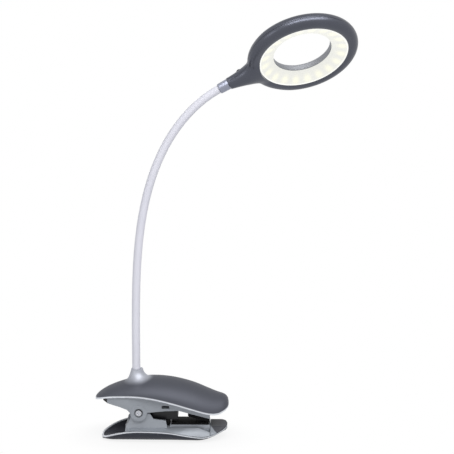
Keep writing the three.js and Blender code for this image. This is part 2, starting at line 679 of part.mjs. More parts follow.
const neckWay = hoseDirection(hoseLength);
const hoseEnd = hosePoint(hoseLength);
const seamGap = clearance;
const endWall = 3.4;            // thickness of the neck's end wall, which the spigot turns in
const clipStart = ferruleLength + seamGap + endWall + clearance;

addPart('ferrule', turned([[coreRadius + clearance, 0], [ferruleRadius - 0.4, 0], [ferruleRadius, 0.4],
  [ferruleRadius, ferruleLength - 0.4], [ferruleRadius - 0.4, ferruleLength], [spigotRadius, ferruleLength],
  [spigotRadius, clipStart - 0.2], [spigotRadius - 0.7, clipStart - 0.2], [spigotRadius - 0.7, clipStart + 1.1],
  [spigotRadius, clipStart + 1.1], [spigotRadius, ferruleLength + spigotLength], [1.4, ferruleLength + spigotLength],
  [1.4, crimpDepth + 0.6], [coreRadius + clearance, crimpDepth + 0.6]], hoseEnd, neckWay, 16), steel());
addPart('swivel_clip', turned([[spigotRadius - 0.5, clipStart], [3.75, clipStart], [3.75, clipStart + 0.9],
  [spigotRadius - 0.5, clipStart + 0.9]], hoseEnd, neckWay, 14), steel());

// ---------------------------------------------------------------------------------------------
// Head, in its own frame: x along the ring's plane away from the neck, z out of its back
// ---------------------------------------------------------------------------------------------

// Square to the neck, the way the light would go if the neck ran in the ring's plane
const rolled = point(neckWay.z, 0, -neckWay.x).multiplyScalar(Math.cos(radians(headRoll)))
  .addScaledVector(point(0, -1, 0), Math.sin(radians(headRoll)));
const droopCos = Math.cos(radians(neckDroop));
const droopSin = Math.sin(radians(neckDroop));
const ringWay = neckWay.clone().multiplyScalar(droopCos).addScaledVector(rolled, droopSin);
const backWay = neckWay.clone().multiplyScalar(droopSin).addScaledVector(rolled, -droopCos);
const sideWay = backWay.clone().cross(ringWay);
const ringEdge = hoseEnd.clone().addScaledVector(neckWay, ferruleLength + seamGap + neckLength);
const ringCentre = ringEdge.clone().addScaledVector(ringWay, ringRadius - 1);

const head = new THREE.Group();
head.position.copy(ringCentre);
head.quaternion.setFromRotationMatrix(new THREE.Matrix4().makeBasis(ringWay, sideWay, backWay));
lamp.add(head);

const ringSides = 32;
const centre = point(0, 0, 0);
const edge = point(1 - ringRadius, 0, 0);
const inNeck = point(droopCos, 0, droopSin);           // the neck's direction in the head's frame
const outOfNeck = point(-droopSin, 0, droopCos);       // square to it, out of the back
const seam = edge.clone().addScaledVector(inNeck, -neckLength);
const neckPoint = (along, out = 0, side = 0) => seam.clone().addScaledVector(inNeck, along)
  .addScaledVector(outOfNeck, out).add(point(0, side, 0));

// Section of the ring-shaped case: round outside, a wall round the hole, open to the front
const innerProfile = [[mouthRadius, -5.4], [45.3, -4.9], [48.1, -3.6], [49.1, -1.3], [49.1, 1.2], [47.8, 3.7],
  [44.5, 5.3], [39.5, 6.2]];
const outerProfile = [[31, ringBack], [39.5, ringBack], [46.8, 7.2], [ringRadius - 1.5, 4.4], [ringRadius, 0.4],
  [ringRadius - 0.8, -3.6], [ringRadius - 3.2, -6.0], [45.4, ringFront], [mouthRadius, -6.2]];
const holeWall = [[holeRadius + shellWall, 6.2], [holeRadius + shellWall, 0.9], [holeRadius, 0.9],
  [holeRadius, 6.4], [28.9, 7.7]];
const caseInside = [[0, -12], [mouthRadius, -12], ...innerProfile, [0, 6.2]];

// A run of the neck from `start` to `reach`; section(t) gives its half width and half thickness
function neck(section, start, reach) {
  const rows = 9;
  const geometry = new THREE.CylinderGeometry(1, 1, rows, 24, rows);
  const bend = edge.clone().add(point(0, 2.4, -1.4));
  const line = new THREE.QuadraticBezierCurve3(seam, bend, point(13 - ringRadius, 0, 0));
  const place = geometry.attributes.position;
  for (let i = 0; i < place.count; i += 1) {
    const t = start + ((reach - start) * (place.getY(i) + rows / 2)) / rows;
    const middle = line.getPoint(t);
    const way = line.getTangent(t);
    const [wide, thick] = section(t);
    const out = point(-way.z, 0, way.x);
    middle.addScaledVector(out, place.getX(i) * thick).add(point(0, place.getZ(i) * wide, 0));
    place.setXYZ(i, middle.x, middle.y, middle.z);
  }
  const body = solid(geometry);
  return body.volume() > 0 ? body : solid(flipped(geometry));
}

// Everything above the joint line of the two halves, or below it
function caseHalf(way) {
  const lift = way > 0 ? -1.0 : -1.0 - clearance;
  const far = 12 * way;
  const bend = edge.clone().add(point(2, 0, lift));
  const tip = bend.clone().addScaledVector(inNeck, -40);
  return plate([[60, lift], [60, far * 2], [tip.x, far * 2 + tip.z], [tip.x, tip.z], [bend.x, bend.z]], -60, 60);
}

const ringCase = turned([...innerProfile, ...holeWall, ...outerProfile], centre, upward, ringSides);
const neckOutside = (t) => [
  neckRadius + 1.4 * Math.min(1, 4 * t) + neckFlare * t ** 2.3,
  neckRadius + 2.6 * Math.min(1, 2.4 * t),
];
const neckInside = (t) => {
  const [wide, thick] = neckOutside(t);
  return [Math.min(wide - neckWall, 8), Math.min(thick - neckWall, 10 - 10 * t)];
};
const neckCase = neck(neckOutside, 0, 1).subtract(turned(caseInside, centre, upward, ringSides));
const clipRoom = rod(neckPoint(endWall), neckPoint(endWall + 5), neckRadius - neckWall + 0.1);
const neckHollow = neck(neckInside, 0.16, 0.68).add(clipRoom);
const spigotHole = rod(neckPoint(-1), neckPoint(endWall + 2), spigotRadius + clearance);
const flangeRoom = neckPoint(buttonPlace, buttonFlange + 0.6 + clearance);
const buttonHole = rod(neckPoint(buttonPlace), neckPoint(buttonPlace, 9), buttonRadius + clearance)
  .add(rod(neckPoint(buttonPlace), flangeRoom, buttonRadius + 1.0));
const headCase = ringCase.add(neckCase).subtract(neckHollow).subtract(spigotHole).subtract(buttonHole);

// Three small screws hold the LED board to posts in the back half
const boardScrewCircle = 33;
const boardScrews = [60, 180, 300].map((angle) => (
  point(boardScrewCircle * Math.cos(radians(angle)), boardScrewCircle * Math.sin(radians(angle)), 0)
));
const lifted = (p, z) => p.clone().setZ(z);
const boardFront = 4.5;
const boardBack = boardFront + boardThickness;

let backHalf = headCase.intersect(caseHalf(1));
for (const p of boardScrews) backHalf = backHalf.subtract(rod(lifted(p, 5), lifted(p, 7.6), 0.9 + clearance, 10));
addPart('head_cover', backHalf, darkShell(), head);

// The front half also carries the rib that the switch stands on
const neckCore = neck((t) => neckOutside(t).map((half) => half - clearance), 0.05, 1);
const rib = rod(neckPoint(buttonPlace, -8), neckPoint(buttonPlace, -0.6), 1.4, 12).intersect(neckCore);
addPart('head_bezel', headCase.add(rib).intersect(caseHalf(-1)), darkShell(), head);

addPart('diffuser', turned([[43.4, -6.1], [43.4, -4.4 + 0.2], [46.0, -4.2], [46.0, -3.4], [42.9, -3.4], [41.5, -4.0],
  [29.8, 0.6], [27.9, 0.6], [27.9, 0.1]], centre, upward, ringSides), diffuserWhite(), head);

function ledBoard() {
  let board = turned([[boardInner, boardFront], [boardOuter, boardFront], [boardOuter, boardBack],
    [boardInner, boardBack]], centre, upward, ringSides);
  for (const p of boardScrews) board = board.subtract(rod(lifted(p, 2), lifted(p, 7), 0.9 + clearance, 10));
  for (let i = 0; i < ledCount; i += 1) {
    const chip = new THREE.BoxGeometry(2.8, 3.5, 1.2);
    chip.translate(ledRadius, 0, boardFront - 0.3);
    chip.rotateZ((2 * Math.PI * (i + 0.5)) / ledCount);
    board = board.add(solid(chip));
  }
  return board;
}

addPart('led_board', ledBoard(), boardGreen(), head);
boardScrews.forEach((p, i) => addPart(`board_screw_${i + 1}`,
  turned([[0, 3.2], [1.7, 3.2], [1.7, boardFront - clearance], [0.9, boardFront - clearance], [0.9, 7.0],
    [0, 7.3]], lifted(p, 0), upward, 10), steel(), head));

// Push button on the back of the neck, over a small tactile switch
addPart('power_button', turned([[0, buttonFlange], [buttonRadius + 0.7, buttonFlange],
  [buttonRadius + 0.7, buttonFlange + 0.6], [buttonRadius, buttonFlange + 0.6], [buttonRadius, 7.5],
  [buttonRadius - 0.4, 7.9], [0, 8.0]], neckPoint(buttonPlace), outOfNeck, 20), blackPlastic(), head);

function tactileSwitch() {
  const stemTop = neckPoint(buttonPlace, buttonFlange - clearance - buttonTravel);
  const stem = rod(neckPoint(buttonPlace, 1), stemTop, 1.0, 10);
  return turned([[0, -1.0], [2.7, -1.0], [2.7, 2.0], [0, 2.0]], neckPoint(buttonPlace), outOfNeck, 4).add(stem);
}

addPart('button_switch', tactileSwitch(), blackPlastic(), head);
const headLeadPoints = [neckPoint(spigotLength - seamGap + 0.8), neckPoint(9.4, -1.5, 1.5), neckPoint(13, -1.6, 4),
  neckPoint(20, -0.6, 3), point(-46, 1, -0.4), point(-42.2, 0, 2.0), point(-40, 0, 2.2)];
addPart('head_lead', tube(new THREE.CatmullRomCurve3(headLeadPoints), 0.6, 14, 6), wireRed(), head);

export default lamp;
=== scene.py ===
"""A clip-on reading lamp with a gooseneck and a ring-shaped LED head, dressed for a studio picture."""

import json
import math

import bmesh
import bpy
import numpy as np
from mathutils import Matrix, Vector


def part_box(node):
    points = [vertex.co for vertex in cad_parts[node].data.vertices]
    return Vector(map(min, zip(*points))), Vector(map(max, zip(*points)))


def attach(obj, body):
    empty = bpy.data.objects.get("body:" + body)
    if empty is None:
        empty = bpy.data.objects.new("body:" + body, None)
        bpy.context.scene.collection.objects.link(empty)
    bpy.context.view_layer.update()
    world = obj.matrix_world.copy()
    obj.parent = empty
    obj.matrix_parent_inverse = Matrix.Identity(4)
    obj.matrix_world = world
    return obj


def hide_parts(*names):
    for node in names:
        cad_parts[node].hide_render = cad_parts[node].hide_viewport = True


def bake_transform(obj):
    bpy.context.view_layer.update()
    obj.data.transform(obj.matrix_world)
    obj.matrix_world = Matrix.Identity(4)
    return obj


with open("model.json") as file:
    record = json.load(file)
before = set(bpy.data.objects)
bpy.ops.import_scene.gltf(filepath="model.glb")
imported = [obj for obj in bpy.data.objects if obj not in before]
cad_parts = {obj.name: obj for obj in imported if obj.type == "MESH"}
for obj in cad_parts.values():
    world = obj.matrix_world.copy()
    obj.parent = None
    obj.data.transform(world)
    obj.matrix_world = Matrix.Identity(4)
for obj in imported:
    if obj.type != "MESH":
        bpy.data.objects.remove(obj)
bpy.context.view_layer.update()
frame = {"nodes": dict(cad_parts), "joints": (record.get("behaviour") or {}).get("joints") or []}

joints = {joint["name"]: joint for joint in frame["joints"]}


# ---------------------------------------------------------------------------------------------
# Lower cover. A shallow dish of metallic-painted plastic that the lamp stands on, moulded with a
# flat sole. Two screws through the sole hold it to the pale frame that sits in it.

MM = 0.001
WALL = 1.8
LEAF_BLUNTNESS = 0.3
lower_rim_points = [(-35.5, 2.6), (-20, 9.2), (-4, 12.6), (14, 13.1), (33, 11.8), (50, 8.4), (66, 5.8),
                    (78, 8.2), (89.6, 13.2)]
lower_outline = {"tail": -35.5, "front": 89.6, "half_width": 24.3, "taper": -0.05}
sole = {"start": -22, "end": 60, "half_width": 9.5, "tail_lift": 1.9, "front_lift": 11.6}
screw_wells = {"places": (-9, 52), "radius": 3.0, "top": 3}


def curve_through(points, steps):
    """A smooth curve through the points, as a number of short lines from each point to the next."""
    p = np.array([points[0], *points, points[-1]], float)
    curve = []
    for a, b, c, d in zip(p, p[1:], p[2:], p[3:]):
        slope, bend, swing = c - a, 2 * a - 5 * b + 4 * c - d, 3 * b - a - 3 * c + d
        for t in np.linspace(0, 1, steps, endpoint=False):
            curve.append(0.5 * (2 * b + slope * t + bend * t**2 + swing * t**3))
    return np.array(curve + [p[-1]])


def height_line(points):
    """The height at any x on a smooth curve through points of (x, z)."""
    curve = curve_through(points, 16)
    return lambda x: float(np.interp(x, curve[:, 0], curve[:, 1]))


def clamped(value, low=0, high=1):
    return max(low, min(high, value))


def along_leaf(outline, x):
    """How far along a leaf-shaped outline x lies: -1 at its tail and 1 at its front."""
    tail, front = outline["tail"], outline["front"]
    return clamped((2 * x - tail - front) / (front - tail), -1)


def leaf_width(outline, x):
    """Half the outline's width at x; a taper above 0 makes the front half the wider one."""
    s, taper = along_leaf(outline, x), outline["taper"]
    widest = 1 + 0.19 * taper
    return outline["half_width"] * (1 - s * s) ** LEAF_BLUNTNESS * (1 + taper * s) / widest


def inset(outline, by):
    """The same outline, a wall's thickness further in."""
    return {**outline, "tail": outline["tail"] + by, "front": outline["front"] - by,
            "half_width": outline["half_width"] - by}


def mesh_object(name, points, faces):
    """A closed mesh from points in millimetres, its faces turned outwards."""
    mesh = bpy.data.meshes.new(name)
    mesh.from_pydata([tuple(MM * float(c) for c in p) for p in points], [], faces)
    form = bmesh.new()
    form.from_mesh(mesh)
    bmesh.ops.recalc_face_normals(form, faces=form.faces)
    form.to_mesh(mesh)
    form.free()
    piece = bpy.data.objects.new(name, mesh)
    bpy.context.scene.collection.objects.link(piece)
    return piece


def rings_to_faces(count, around, first_pole=None, last_pole=None):
    """Faces between `count` rings of `around` points each, closed with a fan at each pole."""
    faces = []
    for i in range(count - 1):
        for j in range(around):
            k = (j + 1) % around
            faces.append((i * around + j, i * around + k, (i + 1) * around + k, (i + 1) * around + j))
    for ring, pole in ((0, first_pole), (count - 1, last_pole)):
        if pole is not None:
            at = ring * around
            faces += [(at + j, at + (j + 1) % around, pole) for j in range(around)]
    return faces


def leaf(name, outline, rim, rise, floor=-math.inf):
    """A leaf-shaped body: flat at the rim on one side, drawn out to the height rise(x) on the other."""
    rows, around = 110, 96
    tail, front = outline["tail"], outline["front"]
    points = []
    for i in range(1, rows):
        x = (tail + front) / 2 - math.cos(math.pi * i / rows) * (front - tail) / 2
        wide, high = leaf_width(outline, x), rise(x)
        for j in range(around):
            angle = 2 * math.pi * j / around
            bulge = max(0, math.sin(angle) * (1 if high > 0 else -1))
            points.append((x, wide * math.cos(angle), max(floor, rim(x) + bulge * high)))
    points += [(end, 0, max(floor, rim(end))) for end in (tail, front)]
    return mesh_object(name, points, rings_to_faces(rows - 1, around, len(points) - 2, len(points) - 1))


def settle(piece):
    """Makes the piece's modifiers part of its mesh."""
    made = bpy.data.meshes.new_from_object(piece.evaluated_get(bpy.context.evaluated_depsgraph_get()))
    piece.modifiers.clear()
    piece.data = made
    return piece


def cut(piece, tool, operation="DIFFERENCE"):
    """Cuts the tool out of the piece, or joins or intersects the two, and uses the tool up."""
    step = piece.modifiers.new("cut", "BOOLEAN")
    step.operation, step.solver, step.object = operation, "MANIFOLD", tool
    settle(piece)
    bpy.data.objects.remove(tool)
    return piece


def rod(name, start, end, radius):
    """A round bar between two points."""
    sides = 48
    start, end = Vector(start), Vector(end)
    way = (end - start).normalized()
    across = way.orthogonal().normalized()
    other = way.cross(across)
    turns = [2 * math.pi * j / sides for j in range(sides)]
    ring = [(across * math.cos(a) + other * math.sin(a)) * radius for a in turns]
    points = [start + r for r in ring] + [end + r for r in ring] + [start, end]
    return mesh_object(name, points, rings_to_faces(2, sides, 2 * sides, 2 * sides + 1))


def smooth(piece, sharp):
    """Shades a piece smooth, but for the edges that turn by more than an angle in degrees."""
    piece.data.shade_smooth()
    piece.data.set_sharp_from_angle(angle=math.radians(sharp))
    return piece


class Signal:
    """A value, colour or shader on its way through a finish; sums of values become Math nodes."""

    def __init__(self, finish, socket):
        self.finish, self.socket = finish, socket

    def __add__(self, other):
        return self.finish.math("ADD", self, other)

    def __radd__(self, other):
        return self.finish.math("ADD", other, self)

    def __sub__(self, other):
        return self.finish.math("SUBTRACT", self, other)

    def __rsub__(self, other):
        return self.finish.math("SUBTRACT", other, self)

    def __mul__(self, other):
        return self.finish.math("MULTIPLY", self, other)

    def __rmul__(self, other):
        return self.finish.math("MULTIPLY", other, self)

    def __truediv__(self, other):
        return self.finish.math("DIVIDE", self, other)

    def __rtruediv__(self, other):
        return self.finish.math("DIVIDE", other, self)

    def __pow__(self, other):
        return self.finish.math("POWER", self, other)

    def __rpow__(self, other):
        return self.finish.math("POWER", other, self)


class Finish:
    """A surface's finish, or the surround's light, built up node by node."""

    def __init__(self, name, kind="materials"):
        self.owner = getattr(bpy.data, kind).new(name)
        self.owner.use_nodes = True
        self.owner.node_tree.nodes.clear()

    def node(self, kind, settings=None, sockets=None, out=0):
        """One node: its settings first, then a value or a link for each socket named."""
        made = self.owner.node_tree.nodes.new(kind)
        for name, value in (settings or {}).items():
            if name == "stops":
                while len(made.color_ramp.elements) < len(value):
                    made.color_ramp.elements.new(0.5)
                for stop, (place, level) in zip(made.color_ramp.elements, value):
                    stop.position, stop.color = place, (level, level, level, 1)
            else:
                setattr(made, name, value)
        for name, value in (sockets or {}).items():
            if isinstance(value, Signal):
                self.owner.node_tree.links.new(value.socket, made.inputs[name])
            else:
                made.inputs[name].default_value = value
        return Signal(self, made.outputs[out]) if made.outputs else None

    def math(self, operation, *values):
        return self.node("ShaderNodeMath", {"operation": operation}, dict(enumerate(values)))

    def vector(self, operation, first, second=None, out=0):
        sockets = {0: first} if second is None else {0: first, 1: second}
        return self.node("ShaderNodeVectorMath", {"operation": operation}, sockets, out)

    def place(self):
        return self.node("ShaderNodeTexCoord", out="Object")

    def along(self, axis):
        """Where the surface lies along one axis, in millimetres."""
        return self.node("ShaderNodeSeparateXYZ", {}, {0: self.place()}, axis) / MM

    def distance(self, centre, weights):
        """How far the surface lies from a point, in millimetres, with a weight on each axis."""
        off = self.vector("MULTIPLY", self.vector("SUBTRACT", self.place(), centre), weights)
        return self.vector("LENGTH", off, out="Value") / MM

    def noise(self, scale, detail=2.0, stretch=None):
        where = self.vector("MULTIPLY", self.place(), stretch) if stretch else self.place()
        return self.node("ShaderNodeTexNoise", {}, {"Vector": where, "Scale": scale, "Detail": detail})

    def fade(self, value, start, end, shape="SMOOTHSTEP"):
        """0 where the value is before the start, 1 where it is past the end."""
        return self.node("ShaderNodeMapRange", {"interpolation_type": shape},
                         {"Value": value, "From Min": start, "From Max": end})

    def mix(self, mask, first, second):
        """The first colour where the mask is 0, the second where it is 1."""
        return self.node("ShaderNodeMix", {"data_type": "RGBA"}, {0: mask, 6: first, 7: second}, out=2)

    def bump(self, height, strength, distance):
        return self.node("ShaderNodeBump", {}, {"Height": height, "Strength": strength,
                                                "Distance": distance})

    def surface(self, sockets):
        """Ends the finish in a Principled shader and gives the material."""
        shader = self.node("ShaderNodeBsdfPrincipled", {}, sockets)
        self.node("ShaderNodeOutputMaterial", {}, {"Surface": shader})
        return self.owner


def srgb(red, green, blue, level=1.0):
    """A colour written as the eye reads it, as the light it reflects."""
    def linear(c):
        c = c / 255
        return c / 12.92 if c <= 0.04045 else ((c + 0.055) / 1.055) ** 2.4
    return (*(min(1, level * linear(c)) for c in (red, green, blue)), 1)


def wear(piece, material):
    """Gives a piece one finish all over."""
    piece.data.materials.clear()
    piece.data.materials.append(material)
    return piece


def over_rim(f, points):
    """Height over a cover's rim, in millimetres; a ramp holds the rim's line in parts of `tallest`."""
    line, tail, front, tallest, spans = height_line(points), points[0][0], points[-1][0], 60, 27
    stops = [(k / spans, line(tail + (front - tail) * k / spans) / tallest) for k in range(spans + 1)]
    rim = f.node("ShaderNodeValToRGB", {"stops": stops}, {0: (f.along("X") - tail) / (front - tail)})
    return f.along("Z") - rim * tallest


def painted_cover(name, rim_points=None, rim_highlight=None, painted_light=None, painted_light_colour=None, painted_light_matt=0.0,
                  depth=1.0, roughness=0.4, metallic=0.6, gloss=0.5):
    """Dark metallic paint over smooth plastic. A band along the rim is a painted highlight, and a
    further masked patch can be painted lighter as painted light.
    """
    f = Finish(name)
    cloud = f.noise(28.0, 3.0)
    flake = f.noise(2400.0, 1.0)
    colour = f.mix(cloud, srgb(70, 72, 80, depth), srgb(81, 83, 92, depth))
    colour = f.mix(flake * 0.3, colour, srgb(104, 107, 117, depth))
    roughness = roughness + (cloud - 0.5) * 0.05 + (flake - 0.5) * 0.05
    metallic = metallic + (flake - 0.5) * 0.1
    if rim_points:
        # Painted highlight: a bright band along the rim, where its edge would catch the light.
        colour = f.mix(f.fade(over_rim(f, rim_points), *rim_highlight), colour, srgb(222, 225, 231))
    # Painted light: the masked patch is painted lighter, as light falling on it.
    if painted_light:
        painted_lit = painted_light(f)
        colour = f.mix(painted_lit, colour, painted_light_colour)
        roughness = roughness + painted_lit * painted_light_matt
    return f.surface({"Base Color": colour, "Roughness": roughness, "Metallic": metallic,
                      "Normal": f.bump(flake, 0.03, 0.0002), "Specular IOR Level": gloss})


lower_rim = height_line(lower_rim_points)


def lower_sink(x):
    """How far the dish reaches below its rim at x, deep enough for the sole to be cut flat."""
    tail = max(0, (sole["start"] - x) / (sole["start"] - lower_outline["tail"]))
    front = max(0, (x - sole["end"]) / (lower_outline["front"] - sole["end"]))
    depth = lower_rim(x) - sole["tail_lift"] * tail**2 - sole["front_lift"] * front**1.6
    flat = min(0.9, sole["half_width"] / max(sole["half_width"], leaf_width(lower_outline, x)))
    return min(-0.05, -depth / math.sqrt(1 - flat * flat))


lower_cover = leaf("lower_cover", lower_outline, lower_rim, lower_sink, floor=0)
cut(lower_cover, leaf("hollow", inset(lower_outline, WALL), lambda x: lower_rim(x) + 1,
                      lambda x: min(-0.5, lower_sink(x) - 1 + WALL), floor=WALL))
for x in screw_wells["places"]:
    cut(lower_cover, rod("screw_well", (x, 0, -1), (x, 0, screw_wells["top"]), screw_wells["radius"]))
smooth(lower_cover, 28)
# The bright band at the rim is a painted highlight.
wear(lower_cover, painted_cover("lower_cover_paint", lower_rim_points, (-1.2, -0.5), depth=0.6,
                                metallic=0.1, gloss=0.05))
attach(lower_cover, "lower_arm")
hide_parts("lower_shell")


# ---------------------------------------------------------------------------------------------
# Lower frame. A pale satin moulding: a flat deck in the dish, two ears that carry the hinge and a
# tray round the jaw's pad. Its edges are softly rounded, as a mould leaves them.

SAME_FACE, SAME_POINT, EDGE = math.radians(2), 0.002 * MM, math.radians(30)


def copy_of(node, name):
    """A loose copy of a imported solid."""
    piece = bpy.data.objects.new(name, frame["nodes"][node].data.copy())
    piece.data.materials.clear()
    bpy.context.scene.collection.objects.link(piece)
    return piece


def softened(node, name, radius):
    """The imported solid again, with its edges rounded."""
    piece = copy_of(node, name)
    form = bmesh.new()
    form.from_mesh(piece.data)
    bmesh.ops.remove_doubles(form, verts=form.verts, dist=SAME_POINT)
    bmesh.ops.dissolve_limit(form, angle_limit=SAME_FACE, verts=form.verts, edges=form.edges)
    form.to_mesh(piece.data)
    form.free()
    step = piece.modifiers.new("rounding", "BEVEL")
    step.width, step.segments, step.use_clamp_overlap = radius * MM, 2, True
    step.limit_method, step.angle_limit = "ANGLE", EDGE
    settle(piece)
    smooth(piece, 40)
    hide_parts(node)
    return piece


def satin_frame(name, stop=None):
    """Pale metallic plastic, clouded and grained by a satin mould; behind the x given as stop it is
    painted dark, as shade in the recess at the frame's tail.
    """
    f = Finish(name)
    cloud = f.noise(45.0, 3.0)
    grain = f.noise(1800.0, 2.0)
    flow = f.noise(60.0, 2.0, (0.25, 1.0, 2.5))
    colour = f.mix(cloud, srgb(138, 143, 150), srgb(152, 157, 164))
    colour = f.mix(flow * 0.3, colour, srgb(180, 184, 191))
    # Painted shade: dark behind the given x, where the frame's tail lies in shadow.
    if stop:
        behind = f.fade(f.along("X"), stop + 0.3, stop - 0.3, "LINEAR")
        colour = f.mix(behind, colour, srgb(26, 26, 28))
    roughness = 0.48 + (cloud - 0.5) * 0.08 + (grain - 0.5) * 0.06
    metallic = 0.25 + (grain - 0.5) * 0.1
    return f.surface({"Base Color": colour, "Roughness": roughness, "Metallic": metallic,
                      "Normal": f.bump(grain, 0.06, 0.0002)})


lower_frame = softened("lower_frame", "lower_frame_moulding", 0.35)
wear(lower_frame, satin_frame("satin_frame"))
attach(lower_frame, "lower_arm")


# ---------------------------------------------------------------------------------------------
# Jaw pads and rest block. Black rubber with a fine moulded texture: a flat pad pressed into the
# lower tray, a wedge glued under the upper jaw, and the block that the battery box rests on.

def rubber(name, dark, light, grain_scale, roughness, ribs=None, cheek=None):
    """Matt, dusty moulded rubber with a pebbled skin, and perhaps cross ribs or a pale corner."""
    f = Finish(name)
    pebble = f.noise(grain_scale, 3.0)
    dust = f.noise(70.0, 4.0)
    height = pebble
    if ribs:
        wave = f.node("ShaderNodeTexWave", {"wave_profile": "SIN", "bands_direction": "X"},
                      {"Vector": f.place(), "Scale": ribs})
        height = pebble * 0.3 + wave
    colour = f.mix(dust * 0.5, dark, light)
    if cheek:
        x, z, steepness = *cheek["corner"], cheek["steepness"]
        past = (f.along("X") - x) * steepness + (f.along("Z") - z)
        colour = f.mix(f.fade(past, 0.3, -0.3, "LINEAR"), colour, cheek["colour"])
    return f.surface({"Base Color": colour, "Roughness": roughness + (dust - 0.5) * 0.15,
                      "Normal": f.bump(height, 0.35, 0.0003), "Specular IOR Level": 0.16})


pad_rubber = rubber("pad_rubber", srgb(6, 6, 7), srgb(16, 16, 18), 1500.0, 0.72, ribs=110.0)
block_rubber = rubber("block_rubber", srgb(8, 8, 9), srgb(18, 18, 20), 1200.0, 0.66)
for node, name, body, material in (("lower_pad", "lower_jaw_pad", "lower_arm", pad_rubber),
                                   ("upper_pad", "upper_jaw_wedge", "upper_arm", pad_rubber),
                                   ("rest_block", "battery_rest", "lower_arm", block_rubber)):
    pad = softened(node, name, 0.5)
    wear(pad, material)
    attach(pad, body)


# ---------------------------------------------------------------------------------------------
# Nose. A dark grey rubber block fills the lower jaw's tip in front of the pad, and takes the knock
# when the clip slips off a shelf. It is moulded to the curve of the dish, with a pale back corner.

nose_cheek = {"corner": (72.3, 15.5), "steepness": 0.94, "colour": srgb(158, 163, 170)}


def melt(piece, voxel, rounds):
    """Flows a piece's corners round."""
    step = piece.modifiers.new("melt", "REMESH")
    step.mode, step.voxel_size = "VOXEL", voxel * MM
    ease = piece.modifiers.new("ease", "SMOOTH")
    ease.factor, ease.iterations = 0.5, rounds
    return settle(piece)


nose = smooth(melt(copy_of("nose_bumper", "jaw_nose"), voxel=0.4, rounds=4), 60)
wear(nose, rubber("nose_rubber", srgb(80, 81, 86), srgb(98, 99, 104), 900.0, 0.5, cheek=nose_cheek))
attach(nose, "lower_arm")
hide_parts("nose_bumper")


# ---------------------------------------------------------------------------------------------
# Hinge. A tubular steel pin passes through both pairs of ears, and a bright cross-head shoulder
# screw closes each end. The screws that hold the covers are of the same plated steel.

SCREW_HEAD = 3.0


def plated(name, tone, roughness, brush=None, head_middle=None):
    """Bright plated steel with turning marks and a haze; round a screw's head a dark ring is painted
    shade, for the recess the head sits in.
    """
    f = Finish(name)
    marks = f.noise(420.0, 2.0, brush)
    haze = f.noise(90.0, 3.0)
    light = tuple(min(255, c + 22) for c in tone)
    colour = f.mix(marks, srgb(*tone), srgb(*light))
    # Painted shade: a dark ring round the screw's head, for its recess.
    if head_middle:
        radius = f.distance(head_middle, (1, 0, 1))
        around = f.fade(radius, SCREW_HEAD - 0.1, SCREW_HEAD + 0.1, "LINEAR")
        colour = f.mix(around, colour, srgb(24, 24, 26))
    return f.surface({"Base Color": colour, "Metallic": 1.0,
                      "Roughness": roughness + haze * 0.1 + (marks - 0.5) * 0.05,
                      "Normal": f.bump(marks, 0.05, 0.0001)})


def dress(nodes, material):
    """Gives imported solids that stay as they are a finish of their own."""
    for node in nodes:
        wear(frame["nodes"][node], material)


for node in ("pivot_screw_near", "pivot_screw_far"):
    side = node.split("_")[-1]
    screw = softened(node, "cross_head_" + side, 0.22)
    wear(screw, plated("screw_" + side, (176, 178, 184), 0.14, (1.0, 0.3, 1.0),
                       joints["clip_hinge"]["pos_m"]))
    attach(screw, "lower_arm")
dress(["hinge_pin", "lower_screw_1", "lower_screw_2", "upper_screw_1", "upper_screw_2"],
      plated("turned_steel", (188, 189, 194), 0.2, (1.0, 0.2, 1.0)))


# ---------------------------------------------------------------------------------------------
# Torsion spring. Hard steel wire wound round the pin; its lower leg presses on the deck and its
# upper leg under the frame's top plate, and both wind up as the jaw opens.

pivot = Vector(joints["clip_hinge"]["pos_m"]) / MM
COIL, WIRE, PITCH, TURNS = 4.1, 0.9, 2.3, 4
LEG_SHARE, FIRST_ANGLE, LAST_ANGLE = 0.12, math.radians(-30), math.radians(50)


def spring_line(t, lower_leg, upper_leg):
    """The wire's middle line for t from 0 to 1: the lower leg, the coil and the upper leg."""
    wound = LAST_ANGLE - FIRST_ANGLE + 2 * math.pi * TURNS
    turn = clamped((t - LEG_SHARE) / (1 - 2 * LEG_SHARE))
    angle = FIRST_ANGLE + turn * wound
    half = PITCH * wound / (4 * math.pi)
    past = (LEG_SHARE - t if t < LEG_SHARE else max(0, t - 1 + LEG_SHARE)) / LEG_SHARE
    reach, way = (lower_leg, -1) if t < LEG_SHARE else (upper_leg, 1)
    return Vector((pivot.x + COIL * math.cos(angle) - way * math.sin(angle) * reach * past,
                   half * (2 * turn - 1),
                   pivot.z + COIL * math.sin(angle) + way * math.cos(angle) * reach * past))


def swept(name, line, radius, sides, bore=0.0):
    """A round wire along a line of points, or a tube if it has a bore, closed at both ends."""
    line = [Vector(p) for p in line]
    across = (line[1] - line[0]).orthogonal().normalized()
    shells = [[], []]
    for i, p in enumerate(line):
        way = (line[min(i + 1, len(line) - 1)] - line[max(i - 1, 0)]).normalized()
        across = (across - way * across.dot(way)).normalized()
        other = way.cross(across)
        for shell, r in zip(shells, (radius, bore)):
            for j in range(sides):
                a = 2 * math.pi * j / sides
                shell.append(p + (across * math.cos(a) + other * math.sin(a)) * r)
    outer, inner = shells
    if not bore:
        return mesh_object(name, outer + [line[0], line[-1]],
                           rings_to_faces(len(line), sides, len(outer), len(outer) + 1))
    faces = rings_to_faces(len(line), sides)
    faces += [tuple(len(outer) + k for k in face) for face in faces]
    for ring in (0, len(line) - 1):
        for j in range(sides):
            a, b = ring * sides + j, ring * sides + (j + 1) % sides
            faces.append((a, b, len(outer) + b, len(outer) + a))
    return mesh_object(name, outer + inner, faces)


